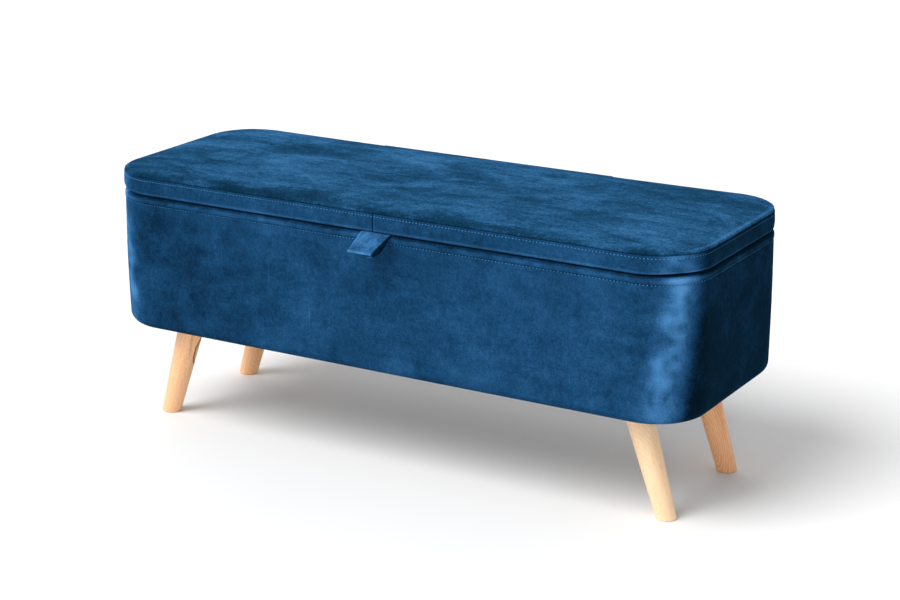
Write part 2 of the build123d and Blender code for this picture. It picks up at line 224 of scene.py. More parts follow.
def finish_piece(name, bm, material, body, stands_for=()):
    """Turn a bmesh into a smooth-shaded piece, attached to its body; with no body given, it is attached to
    none.
    """
    mesh = settle(bm, name)
    piece = bpy.data.objects.new(name, mesh)
    scene.collection.objects.link(piece)
    mesh.polygons.foreach_set("use_smooth", [True] * len(mesh.polygons))
    mesh.materials.append(material)
    if body:
        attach(piece, body)
    if stands_for:
        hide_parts(*stands_for)
    return piece


def thicken(piece, thickness):
    """Give a skin its thickness, inwards. Plain offset, because an even one throws spikes at tight folds."""
    wall = piece.modifiers.new("thickness", "SOLIDIFY")
    wall.thickness = thickness
    wall.offset = -1


def mark_painted_light(piece, value_at):
    """Store a painted brightness at each point, with some mottle: painted highlights where edges catch
    light, painted shade in folds and on shaded sides.
    """
    mottle_and_painted_light = piece.data.attributes.new("mottle_and_painted_light", "FLOAT", "POINT")
    mottle_and_painted_light.data.foreach_set("value", [value_at(v.co) for v in piece.data.vertices])


def bump_at(value, centre, reach):
    """A smooth hump of height 1 where a value is at a centre, that fades over a reach."""
    return exp(-(((value - centre) / reach) ** 2))


def panel_painted_light(co):
    """Painted light on the velvet panels: a painted highlight band in the middle of each rounded corner,
    painted shade on the ends and on the front towards its left end, slanting with height.
    """
    way, _ = outward(co)
    low = 1 - min(1.0, max(0.0, (co.z - UNDERSIDE) / (RIM_SEAM - UNDERSIDE)))
    turned = atan2(abs(way.x), abs(way.y)) + radians(17) * low
    # Painted highlight in the middle of each corner, fading low down, and painted shade on the ends, deeper
    # low down.
    corner_highlight_band = exp(-(((turned - radians(46)) / radians(17)) ** 2))
    ends = min(1.0, max(0.0, (turned - radians(62)) / radians(20)))
    patches = 0.8 + 0.8 * noise.noise(co * 26.0) + 0.7 * noise.noise(co * 62.0)
    pale = 1.45 * patches * corner_highlight_band * (1 - 0.3 * low * low)
    # Painted shade on the front, growing towards its left end.
    far = max(0.0, -co.x / HALF_X) ** 2 * max(0.0, -way.y)
    return pale - (0.85 + 0.35 * low) * ends * ends * (3 - 2 * ends) - 0.5 * far


def ripples(co, seam, reach, pitch):
    """Small folds that run away from a seam, strongest at the corners."""
    where = Vector((co.x / pitch, co.y / pitch, co.z / (5 * pitch)))
    strength = (0.3 + 0.7 * cornerness(co)) * exp(-abs(co.z - seam) / reach)
    return strength * noise.noise(where)


def waves(co, pitch, seed):
    """Slow swells of a padded surface."""
    return noise.noise(co / pitch + Vector((seed, seed, seed)))


# Materials

def add_node(tree, kind, **values):
    """A shader node with its settings and its input values."""
    made = tree.nodes.new("ShaderNode" + kind)
    for key, value in values.items():
        socket = made.inputs.get(key.replace("_", " "))
        if socket is None:
            setattr(made, key, value)
        else:
            socket.default_value = value
    return made


def new_material(name):
    """A material with an empty principled shader: (material, node tree, shader)."""
    material = bpy.data.materials.new(name)
    material.use_nodes = True
    tree = material.node_tree
    return material, tree, tree.nodes["Principled BSDF"]


def place(tree, scale=(1, 1, 1), turn=(0, 0, 0)):
    """Object coordinates, scaled and turned."""
    coordinates = add_node(tree, "TexCoord")
    mapping = add_node(tree, "Mapping")
    mapping.inputs["Scale"].default_value = scale
    mapping.inputs["Rotation"].default_value = turn
    tree.links.new(coordinates.outputs["Object"], mapping.inputs["Vector"])
    return mapping.outputs["Vector"]


def noise_at(tree, vector, scale, detail=3.0, roughness=0.5, distortion=0.0):
    """Grey noise at coordinates."""
    texture = add_node(
        tree, "TexNoise", Scale=scale, Detail=detail, Roughness=roughness, Distortion=distortion
    )
    tree.links.new(vector, texture.inputs["Vector"])
    return texture.outputs["Fac"]


def ramp(tree, factor, stops):
    """Colours or greys along a factor: stops are (position, colour)."""
    made = add_node(tree, "ValToRGB")
    band = made.color_ramp
    while len(band.elements) < len(stops):
        band.elements.new(0.5)
    for element, (position, colour) in zip(band.elements, stops):
        element.position = position
        element.color = (*colour, 1) if isinstance(colour, tuple) else (colour, colour, colour, 1)
    tree.links.new(factor, made.inputs["Fac"])
    return made.outputs["Color"]


def mix(tree, kind, factor, a, b):
    """Two colours blended by a factor, each a socket or a value."""
    made = add_node(tree, "Mix", data_type="RGBA", blend_type=kind)
    for index, value in ((0, factor), (6, a), (7, b)):
        if isinstance(value, bpy.types.NodeSocket):
            tree.links.new(value, made.inputs[index])
        else:
            made.inputs[index].default_value = value
    return made.outputs[2]


def sum_of(tree, kind, a, b):
    """Two numbers combined, each a socket or a value."""
    made = add_node(tree, "Math", operation=kind)
    for index, value in ((0, a), (1, b)):
        if isinstance(value, bpy.types.NodeSocket):
            tree.links.new(value, made.inputs[index])
        else:
            made.inputs[index].default_value = value
    return made.outputs[0]


def weighted(tree, *parts):
    """The sum of numbers, each a socket with its weight."""
    total = None
    for socket, weight in parts:
        share = sum_of(tree, "MULTIPLY", socket, weight)
        total = share if total is None else sum_of(tree, "ADD", total, share)
    return total


def bump(tree, shader, height, strength, distance):
    """Roughen a shader's surface by a height."""
    made = add_node(tree, "Bump", Strength=strength, Distance=distance)
    tree.links.new(height, made.inputs["Height"])
    tree.links.new(made.outputs["Normal"], shader.inputs["Normal"])


SIDE_SHADES = [
    (0.28, (0.0010, 0.0065, 0.0140)),
    (0.40, (0.0036, 0.0220, 0.0560)),
    (0.50, (0.0078, 0.0480, 0.1200)),
    (0.58, (0.0150, 0.0730, 0.1750)),
    (0.74, (0.0420, 0.1600, 0.3600)),
    (0.92, (0.0850, 0.2600, 0.5400)),
]
# The top's shades are painted lighter than the sides', standing in for the sheen the top catches at a
# grazing view.
TOP_SHADES = [
    (0.385, (0.0020, 0.0170, 0.0380)),
    (0.455, (0.0056, 0.0370, 0.0860)),
    (0.500, (0.0126, 0.0680, 0.1580)),
    (0.545, (0.0266, 0.1150, 0.2550)),
    (0.630, (0.0588, 0.1850, 0.3800)),
    (0.850, (0.1190, 0.2800, 0.5400)),
]


def velvet(name, shades, stretch, wrinkle):
    """Short-pile velvet: cloudy marks in the pile, brushed streaks and a fine fuzz, with the painted
    highlights and painted shade stored on each piece.
    """
    material, tree, shader = new_material(name)
    clouds = noise_at(tree, place(tree, stretch), 9.0, 9.0, 0.66, 0.4)
    streaks = noise_at(tree, place(tree, (0.35, 1.0, 1.0), (0, 0, 0.10)), 40.0, 6.0, 0.66, 0.6)
    scuffs = noise_at(tree, place(tree, (1.0, 1.0, 0.6), (0.5, 0.35, 0.2)), 120.0, 6.0, 0.8, 0.8)
    fuzz = noise_at(tree, place(tree), 330.0, 3.0, 0.8)
    scratches = noise_at(tree, place(tree, (1.0, 1.0, 0.03), (0, radians(38), 0)), 260.0, 1.0, 0.5, 0.2)
    scratches = ramp(tree, scratches, [(0.73, 0.0), (0.80, 1.0)])
    # Painted light: the stored painted highlights and painted shade lighten and darken the base colour.
    mottle_and_painted_light = add_node(tree, "Attribute", attribute_name="mottle_and_painted_light")
    tone = weighted(
        tree, (clouds, 0.32), (streaks, 0.18), (scuffs, 0.24), (fuzz, 0.26), (scratches, 0.05),
        (mottle_and_painted_light.outputs["Fac"], 0.20),
    )
    tree.links.new(ramp(tree, tone, shades), shader.inputs["Base Color"])
    tree.links.new(ramp(tree, clouds, [(0.3, 0.85), (0.7, 0.70)]), shader.inputs["Roughness"])
    shader.inputs["Specular IOR Level"].default_value = 0.0
    shader.inputs["Specular Tint"].default_value = (0.28, 0.60, 1.0, 1)
    shader.inputs["Sheen Weight"].default_value = 0.10
    shader.inputs["Sheen Roughness"].default_value = 0.45
    shader.inputs["Sheen Tint"].default_value = (0.10, 0.42, 0.85, 1)
    height = weighted(tree, (clouds, 2.0), (streaks, wrinkle), (scuffs, 0.45), (fuzz, 0.14))
    bump(tree, shader, height, 0.5, 2.5 * MM)
    return material


def thread():
    """Pale blue sewing thread with a fine twist."""
    material, tree, shader = new_material("stitch_thread")
    twist = noise_at(tree, place(tree), 1800.0, 1.0)
    colour = ramp(tree, twist, [(0.3, (0.035, 0.20, 0.45)), (0.7, (0.10, 0.36, 0.66))])
    tree.links.new(colour, shader.inputs["Base Color"])
    shader.inputs["Roughness"].default_value = 0.8
    shader.inputs["Specular IOR Level"].default_value = 0.1
    bump(tree, shader, twist, 0.4, 0.2 * MM)
    return material


def along_grain(tree, heart, lean, stretch):
    """Coordinates about a point in a leg, turned to its lean and drawn out along it."""
    coordinates = add_node(tree, "TexCoord")
    mapping = add_node(tree, "Mapping", vector_type="TEXTURE")
    mapping.inputs["Location"].default_value = heart
    mapping.inputs["Rotation"].default_value = (0, lean, 0)
    mapping.inputs["Scale"].default_value = (1, 1, stretch)
    tree.links.new(coordinates.outputs["Object"], mapping.inputs["Vector"])
    return mapping.outputs["Vector"]


def leg_wood(name, heart, lean, tint, arches, hollow):
    """Pale lacquered hardwood: grain along the leg and rings round its heart.

    A dark ring of painted shade is laid round a hollow's lip, where one is given.
    """
    material, tree, shader = new_material(name)
    bands = noise_at(tree, along_grain(tree, heart, lean, 18), 190.0, 4.0, 0.6, 0.4)
    sweep = add_node(
        tree, "TexWave", Scale=105.0, Distortion=4.5, Detail=3.0,
        wave_type="RINGS", rings_direction="SPHERICAL",
    )
    tree.links.new(along_grain(tree, heart, lean, 3.2), sweep.inputs["Vector"])
    flecks = noise_at(tree, along_grain(tree, heart, lean, 14), 800.0, 2.0, 0.6)
    fibre = noise_at(tree, along_grain(tree, heart, lean, 30), 1600.0, 2.0, 0.6)
    base, dark, light = tint
    colour = ramp(tree, bands, [(0.28, dark), (0.50, base), (0.74, light)])
    grain = ramp(tree, sweep.outputs["Fac"], [(0.0, (0.80, 0.58, 0.44)), (0.5, 1.0)])
    colour = mix(tree, "MULTIPLY", arches, colour, grain)
    pores = ramp(tree, flecks, [(0.30, (0.78, 0.66, 0.54)), (0.42, 1.0)])
    colour = mix(tree, "MULTIPLY", 0.55, colour, pores)
    if hollow:
        # Painted shade: a dark ring round the hollow's lip.
        reach = add_node(tree, "VectorMath", operation="LENGTH")
        tree.links.new(along_grain(tree, hollow, lean, 2.5), reach.inputs[0])
        shade = (0.13, 0.055, 0.015)
        hollow_shade_ring = ramp(tree, sum_of(tree, "MULTIPLY", reach.outputs["Value"], 40.0), [
            (0.33, (0.92, 0.82, 0.70)), (0.39, shade), (0.47, shade), (0.49, 1.0),
        ])
        colour = mix(tree, "MULTIPLY", 0.9, colour, hollow_shade_ring)
    tree.links.new(colour, shader.inputs["Base Color"])
    shader.inputs["Roughness"].default_value = 0.42
    shader.inputs["Coat Weight"].default_value = 0.12
    shader.inputs["Coat Roughness"].default_value = 0.3
    bump(tree, shader, weighted(tree, (flecks, 0.6), (fibre, 0.4)), 0.25, 0.3 * MM)
    return material


def board_wood(name, dark, light):
    """Sawn board and plywood, seen only where the bench is taken apart."""
    material, tree, shader = new_material(name)
    grain = noise_at(tree, place(tree, (0.08, 1, 1)), 90.0, 4.0, 0.6, 0.5)
    colour = ramp(tree, grain, [(0.3, dark), (0.7, light)])
    tree.links.new(colour, shader.inputs["Base Color"])
    shader.inputs["Roughness"].default_value = 0.7
    bump(tree, shader, grain, 0.3, 0.4 * MM)
    return material


def nonwoven(name, dark, light):
    """Thin pressed cloth with a pattern of small embossed dots."""
    material, tree, shader = new_material(name)
    dots = add_node(tree, "TexVoronoi", Scale=420.0, Randomness=0.15)
    tree.links.new(place(tree), dots.inputs["Vector"])
    fibres = noise_at(tree, place(tree), 160.0, 5.0, 0.7, 1.0)
    colour = ramp(tree, fibres, [(0.3, dark), (0.75, light)])
    tree.links.new(colour, shader.inputs["Base Color"])
    shader.inputs["Roughness"].default_value = 0.85
    height = sum_of(tree, "ADD", dots.outputs["Distance"], sum_of(tree, "MULTIPLY", fibres, 0.8))
    bump(tree, shader, height, 0.5, 0.4 * MM)
    return material


def metal(name, colour, roughness):
    """Plated steel with fine brushing and slight stains."""
    material, tree, shader = new_material(name)
    brushed = noise_at(tree, place(tree, (0.05, 1, 1)), 900.0, 3.0, 0.6)
    stains = noise_at(tree, place(tree), 60.0, 4.0, 0.6)
    darker = tuple(0.72 * c for c in colour)
    tree.links.new(ramp(tree, stains, [(0.3, darker), (0.65, colour)]), shader.inputs["Base Color"])
    gloss = ramp(tree, brushed, [(0.2, roughness * 0.8), (0.8, roughness * 1.3)])
    tree.links.new(gloss, shader.inputs["Roughness"])
    shader.inputs["Metallic"].default_value = 1.0
    bump(tree, shader, brushed, 0.15, 0.1 * MM)
    return material


def rubber():
    """Moulded black rubber with a fine grain."""
    material, tree, shader = new_material("bumper_rubber")
    grain = noise_at(tree, place(tree), 1200.0, 2.0)
    tree.links.new(ramp(tree, grain, [(0.3, 0.012), (0.7, 0.03)]), shader.inputs["Base Color"])
    shader.inputs["Roughness"].default_value = 0.6
    bump(tree, shader, grain, 0.3, 0.1 * MM)
    return material


# The box's velvet

def box_swell(co):
    """How far the box's padded side stands out of its outline."""
    edge = UNDERSIDE + BODY_EDGE_R
    share = min(1.0, max(0.0, (co.z - edge) / (RIM_SEAM - edge)))
    swell = 1.3 * MM * sin(pi * share)
    swell += 0.7 * MM * waves(co, 0.16, 3.0)
    swell += 1.5 * MM * ripples(co, RIM_SEAM, 26 * MM, 21 * MM)
    swell += 1.4 * MM * ripples(co, UNDERSIDE, 16 * MM, 26 * MM)
    swell -= 0.5 * MM * bump_at(co.z, RIM_STITCH, 2.2 * MM)
    return swell * (1.0 if co.z > UNDERSIDE + 6 * MM else 0.3)


def make_box_cover(material):
    """Velvet round the box: hem underneath, rounded bottom edge, soft sides, seam at the rim."""
    edge = UNDERSIDE + BODY_EDGE_R
    profile = [(inset * MM, UNDERSIDE + 0.3 * MM) for inset in (36, 33, 30, 27, 24, 21)]
    profile += arc(BODY_EDGE_R, edge, BODY_EDGE_R, -90, 0, 8)
    profile += rise(0, edge, RIM_SEAM - 10 * MM, 7 * MM)
    profile += rise(0, RIM_SEAM - 11 * MM, RIM_SEAM - 2 * MM, 2.2 * MM)
    profile += [(0.15 * MM, RIM_SEAM - 1.6 * MM), (0.5 * MM, RIM_SEAM - 0.6 * MM)]
    profile += [(1.5 * MM, RIM_SEAM - 0.15 * MM), (4.0 * MM, RIM_SEAM - 0.1 * MM)]
    bm = wrap(profile, COLUMN)
    for v in bm.verts:
        v.co += outward(v.co)[0] * box_swell(v.co)
    piece = finish_piece(
        "box_cover", bm, material, "box",
        ["body_cover", "body_foam_front", "body_foam_back", "body_foam_left", "body_foam_right"],
    )
    # Painted light: the panels' painted highlight and shade, with painted shade along the rim seam and
    # towards the underside.
    mark_painted_light(piece, lambda co: panel_painted_light(co) - 0.25 * bump_at(co.z, RIM_SEAM, 1.5 * MM)
             - 0.4 * bump_at(co.z, UNDERSIDE, 8 * MM))
    thicken(piece, CLOTH)


def make_rim_strip(material):
    """Velvet over the rim, puffed a little between its seam and its top edge."""
    edge = 3.6 * MM
    inner = 23.9 * MM
    profile = [(4.0 * MM, RIM_SEAM + 0.05 * MM), (1.5 * MM, RIM_SEAM + 0.1 * MM)]
    profile += [(0.5 * MM, RIM_SEAM + 0.5 * MM)]
    profile += [(0.1 * MM, RIM_SEAM + 1.3 * MM), (-0.2 * MM, RIM_SEAM + 3.2 * MM)]
    profile += arc(edge, RIM_TOP - edge, edge, 0, 90, 6)
    profile += [(inset * MM, RIM_TOP) for inset in (8, 12, 16, 20)]
    profile += [(22.4 * MM, RIM_TOP - 0.5 * MM), (23.5 * MM, RIM_TOP - 1.8 * MM)]
    profile += [(inner, RIM_TOP - 4 * MM - i * 4.5 * MM) for i in range(8)]
    profile += [(inner, FLAP_LOW)]
    bm = wrap(profile, COLUMN)
    for v in bm.verts:
        out, depth = outward(v.co)
        if depth < 10 * MM:
            swell = 1.6 * MM * ripples(v.co, RIM_SEAM + 4 * MM, 30 * MM, 17 * MM)
            swell += 0.5 * MM * waves(v.co, 0.06, 9.0)
            v.co += out * swell
        if v.co.z > RIM_TOP - 7 * MM and depth < 20 * MM:
            v.co.z -= (1.2 * cornerness(v.co) + 0.7 * abs(waves(v.co, 0.05, 5.0))) * MM
    piece = finish_piece("rim_strip", bm, material, "box", ["rim_band"])
    # Painted light: the panels' painted highlight and shade with mottle, a painted highlight stripe on the
    # puff above the seam, painted shade along the seam, and painted shade on the rim's top under the lid.
    mark_painted_light(piece, lambda co: (panel_painted_light(co) + 0.35 * noise.noise(co * 70.0)
             + (0.35 + 0.6 * noise.noise(co * 35.0)) * bump_at(co.z, RIM_SEAM + 5.5 * MM, 2.2 * MM)
             - 0.25 * bump_at(co.z, RIM_SEAM, 1.5 * MM)) * (outward(co)[1] < 10 * MM)
             - 0.5 * bump_at(co.z, RIM_TOP, 3 * MM))
    thicken(piece, CLOTH)


# The lid's velvet

def band_swell(co):
    """How far the lid's side band stands out of its outline, with the dent of its join at the front."""
    front = outward(co)[0].y < -0.9
    swell = 0.8 * MM * sin(pi * min(1.0, max(0.0, (co.z - LID_UNDER) / (LID_SEAM - LID_UNDER))))
    swell += 1.7 * MM * ripples(co, LID_SEAM, 14 * MM, 12 * MM)
    swell += 0.5 * MM * waves(co, 0.08, 21.0)
    swell -= 1.0 * MM * bump_at(co.x, 0, 1.1 * MM) * front
    swell += 0.5 * MM * bump_at(co.x, 2.6 * MM, 1.2 * MM) * front
    return swell


def make_lid_band(material):
    """The strip round the lid's edge, joined at the middle of the front, hemmed underneath."""
    edge = LID_UNDER + LID_EDGE_R
    profile = [(inset * MM, LID_UNDER + 0.2 * MM) for inset in (30, 26, 22, 18, 14, 10)]
    profile += arc(LID_EDGE_R, edge, LID_EDGE_R, -90, 0, 6)
    profile += rise(-0.2 * MM, edge, LID_STITCH - 1.2 * MM, 3 * MM)
    profile += [(-0.1 * MM, LID_STITCH - 1.2 * MM), (0.1 * MM, LID_STITCH)]
    profile += [(-0.2 * MM, LID_STITCH + 1.3 * MM), (-0.3 * MM, LID_SEAM - 2.2 * MM)]
    profile += [(0.0, LID_SEAM - 1.1 * MM), (0.5 * MM, LID_SEAM - 0.45 * MM)]
    profile += [(1.6 * MM, LID_SEAM - 0.12 * MM), (4.0 * MM, LID_SEAM - 0.1 * MM)]
    bm = wrap(profile, COLUMN)
    for v in bm.verts:
        out, depth = outward(v.co)
        if depth < 8 * MM:
            v.co += out * band_swell(v.co)
        if v.co.z < LID_UNDER + 5 * MM and depth < 12 * MM:
            v.co.z += 2.6 * MM * cornerness(v.co)
    piece = finish_piece("lid_side_band", bm, material, "lid", ["lid_band"])
    # Painted light: the panels' painted highlight and shade, a painted highlight along the band's lower
    # edge, painted shade along the top seam, and at the front join painted shade in its dent beside a
    # painted highlight.
    mark_painted_light(piece, lambda co: (panel_painted_light(co) + 0.6 * bump_at(co.z, LID_UNDER + 3.4 * MM, 1.5 * MM)
             - 0.2 * bump_at(co.z, LID_SEAM, 1.3 * MM)
             + 0.3 * bump_at(co.x, 3 * MM, 1.2 * MM) * (co.y < MIDDLE_Y)
             - 1.1 * bump_at(co.x, 0, 1.1 * MM) * (co.y < MIDDLE_Y)) * (outward(co)[1] < 8 * MM))
    thicken(piece, CLOTH)


def press_into_plan(bm, inset):
    """Round off a rectangular grid's corners to the bench's plan, pulled in by inset."""
    reach = CORNER_R - inset
    for v in bm.verts:
        dx, dy = abs(v.co.x) - CORE_X, abs(v.co.y - MIDDLE_Y) - CORE_Y
        if dx > 0 and dy > 0:
            a, b = min(1.0, dx / reach), min(1.0, dy / reach)
            x = CORE_X + reach * a * sqrt(1 - b * b / 2)
            y = CORE_Y + reach * b * sqrt(1 - a * a / 2)
            v.co.x = copysign(x, v.co.x)
            v.co.y = MIDDLE_Y + copysign(y, v.co.y - MIDDLE_Y)


def grow_rim(bm, profile):
    """Extrude a sheet's border through profile points, ring by ring, and return the last ring's edges."""
    border = [e for e in bm.edges if e.is_boundary]
    for inset, level in profile:
        grown = bmesh.ops.extrude_edge_only(bm, edges=border)
        verts = only(bmesh.types.BMVert, grown["geom"])
        fresh = set(verts)
        border = [e for e in only(bmesh.types.BMEdge, grown["geom"]) if fresh.issuperset(e.verts)]
        for v in verts:
            out, depth = outward(v.co)
            v.co += out * (depth - inset)
            v.co.z = level
    return border


def inflate(bm, pinned_below, pressure, cap):
    """Blow up a closed pad as cloth, its lower part held, and move the points of bm to where it ends."""
    mesh = bpy.data.meshes.new("pad_in_making")
    bm.to_mesh(mesh)
    pad = bpy.data.objects.new("pad_in_making", mesh)
    scene.collection.objects.link(pad)
    held = pad.vertex_groups.new(name="held")
    rest = [v.co.copy() for v in mesh.vertices]
    held.add([i for i, co in enumerate(rest) if co.z < pinned_below], 1.0, "REPLACE")
    cloth = pad.modifiers.new("cloth", "CLOTH")
    cloth.settings.quality = 6
    cloth.settings.mass = 0.4
    cloth.settings.tension_stiffness = 25
    cloth.settings.compression_stiffness = 25
    cloth.settings.bending_stiffness = 2.0
    cloth.settings.use_pressure = True
    cloth.settings.uniform_pressure_force = pressure
    cloth.settings.effector_weights.gravity = 0
    cloth.settings.vertex_group_mass = "held"
    scene.frame_start, scene.frame_end = 1, CLOTH_FRAMES
    for step in range(1, CLOTH_FRAMES + 1):
        scene.frame_set(step)
    blown = pad.evaluated_get(bpy.context.evaluated_depsgraph_get()).to_mesh()
    for v, start, end in zip(bm.verts, rest, blown.vertices):
        move = end.co - start
        v.co = start + move * (cap / (cap + move.length))
    scene.frame_set(1)
    bpy.data.objects.remove(pad)


def top_painted_light(co):
    """Darker, mottled towards the front edge, with painted shade along the seam and a painted highlight line
    along the shoulder at the ends.
    """
    way, depth = outward(co)
    front = max(0.0, -way.y) * bump_at(depth, 0, 26 * MM)
    # Painted highlight along the shoulder at the ends.
    shoulder = abs(way.x) ** 3 * bump_at(depth, 4.5 * MM, 2.2 * MM)
    shade = (0.16 - 0.45 * noise.noise(co * 14.0)) * front
    return 0.35 * shoulder - shade - 0.15 * bump_at(co.z, LID_SEAM, 1.2 * MM)


def make_lid_top(material):
    """The padded top of the lid: a crowned sheet from seam to seam."""
    bm = bmesh.new()
    bmesh.ops.create_grid(bm, x_segments=138, y_segments=48, size=1.0)
    size = (HALF_X - SHOULDER_WIDE, HALF_Y - SHOULDER_WIDE, 1)
    bmesh.ops.scale(bm, vec=size, verts=bm.verts)
    bmesh.ops.translate(bm, vec=(0, MIDDLE_Y, SHOULDER_TOP), verts=bm.verts)
    press_into_plan(bm, SHOULDER_WIDE)
    foot = LID_SEAM + 1.8 * MM
    drop = SHOULDER_TOP - LID_SEAM - 1.8 * MM
    shoulder = [
        (SHOULDER_WIDE * (1 - sin(a)) + 0.2 * MM, foot + drop * cos(a))
        for a in (radians(9 * i) for i in range(1, 11))
    ]
    curl = [(0.5 * MM, LID_SEAM + 0.7 * MM), (1.5 * MM, LID_SEAM + 0.15 * MM)]
    curl += [(4.0 * MM, LID_SEAM + 0.1 * MM)]
    border = grow_rim(bm, shoulder + curl)
    closing = bmesh.ops.holes_fill(bm, edges=border)["faces"]
    bmesh.ops.recalc_face_normals(bm, faces=bm.faces)
    inflate(bm, SHOULDER_TOP - 3 * MM, 4.0, 9 * MM)
    bmesh.ops.delete(bm, geom=closing, context="FACES_ONLY")
    for v in bm.verts:
        ax = min(1.0, abs(v.co.x) / HALF_X)
        ay = min(1.0, abs(v.co.y - MIDDLE_Y) / HALF_Y)
        out, depth = outward(v.co)
        if v.co.z > SHOULDER_TOP - 2 * MM:
            v.co.z = v.co.z
            v.co.z += 0.7 * MM * waves(v.co, 0.17, 31.0) + 0.3 * MM * waves(v.co, 0.045, 40.0)
        if v.co.y > MIDDLE_Y and v.co.z > LID_SEAM + 2 * MM:
            v.co.z -= 2.4 * MM * ay * ay * (1 - ax ** 3)
        if depth < 30 * MM:
            v.co += out * 1.2 * MM * ripples(v.co, LID_SEAM, 12 * MM, 18 * MM)
    bmesh.ops.recalc_face_normals(bm, faces=bm.faces)
    bm.normal_update()
    if sum(f.normal.z * f.calc_area() for f in bm.faces) < 0:
        bmesh.ops.reverse_faces(bm, faces=bm.faces)
    piece = finish_piece("lid_top", bm, material, "lid", ["lid_top_cover", "lid_foam"])
    mark_painted_light(piece, top_painted_light)
    smooth = piece.modifiers.new("smooth", "SUBSURF")
    smooth.levels = 1
    smooth.render_levels = 1
    thicken(piece, CLOTH)


# Stitches and staples

def seat(spot, out):
    """A move that lays a thing at a spot, its x along the outline and its y outwards."""
    turn = Matrix((Vector((-out.y, out.x, 0)), out, Vector((0, 0, 1)))).transposed().to_4x4()
    return Matrix.Translation(spot) @ turn


def lay_row(mould, moves):
    """Copies of a mesh in one bmesh, each with its own move."""
    row = bmesh.new()
    for move in moves:
        copy = mould.copy()
        copy.transform(move)
        row.from_mesh(copy)
        bpy.data.meshes.remove(copy)
    return row


def make_bead():
    """One stitch: a slim rounded bead, lying along x."""
    bm = bmesh.new()
    bmesh.ops.create_uvsphere(bm, u_segments=6, v_segments=4, radius=1.0)
    bmesh.ops.scale(bm, vec=STITCH_SIZE, verts=bm.verts)
    bmesh.ops.recalc_face_normals(bm, faces=bm.faces)
    return settle(bm, "bead")


def make_wire():
    """One staple: its flat crown with rounded edges, lying along x."""
    bm = bmesh.new()
    bmesh.ops.create_cube(bm, size=1.0)
    bmesh.ops.scale(bm, vec=STAPLE_SIZE, verts=bm.verts)
    bmesh.ops.bevel(
        bm, geom=bm.edges, offset=0.22 * MM, segments=2, profile=0.5, affect="EDGES", material=-1
    )
    return settle(bm, "staple")


def make_stitches(name, level, inset, swell_at, body, material):
    """A row of short stitches once round the bench, each a slim bead along the seam."""
    count = round(PERIMETER / STITCH_PITCH)

    def stitch_at(i):
        """Where stitch i lies, sunk a little at the ends of the bench."""
        spot, out = around(PERIMETER * i / count, inset)
        spot.z = level
        spot += out * (swell_at(spot) - STITCH_SINK * out.x * out.x)
        spot.z += 0.12 * MM * noise.noise(Vector((i * 0.7, level * 50, 0)))
        return seat(spot, out)

    row = lay_row(make_bead(), map(stitch_at, range(count)))
    finish_piece(name, row, material, body)


def make_staples(name, level, inset, pitch, body, material):
    """Wire staples that hold cloth to the wood underneath, once round the bench."""
    count = round(PERIMETER / pitch)

    def staple_at(i):
        """Where staple i lies, turned a little off the row's line."""
        spot, out = around(PERIMETER * (i + 0.5) / count, inset)
        spot.z = level
        skew = Matrix.Rotation(0.25 * noise.noise(Vector((i * 1.7, inset * 100, 3))), 4, "Z")
        return seat(spot, out) @ skew

    row = lay_row(make_wire(), map(staple_at, range(count)))
    bmesh.ops.recalc_face_normals(row, faces=row.faces)
    finish_piece(name, row, material, body)


# The pull tab

def roll_under(across, crease, share, ply):
    """Roll the tab's right edge under, past a crease: (across, height) of a point of one ply."""
    past = across - crease
    if past <= 0 or share <= 0:
        return across, ply
    radius = (2.2 + 3.0 * sin(pi * min(1.0, share)) ** 0.8) * MM
    turn = min(past / radius, 0.95 * pi)
    rest = past - turn * radius
    reach = radius + ply
    return crease + reach * sin(turn) + rest * cos(turn), reach * cos(turn) - radius - rest * sin(turn)


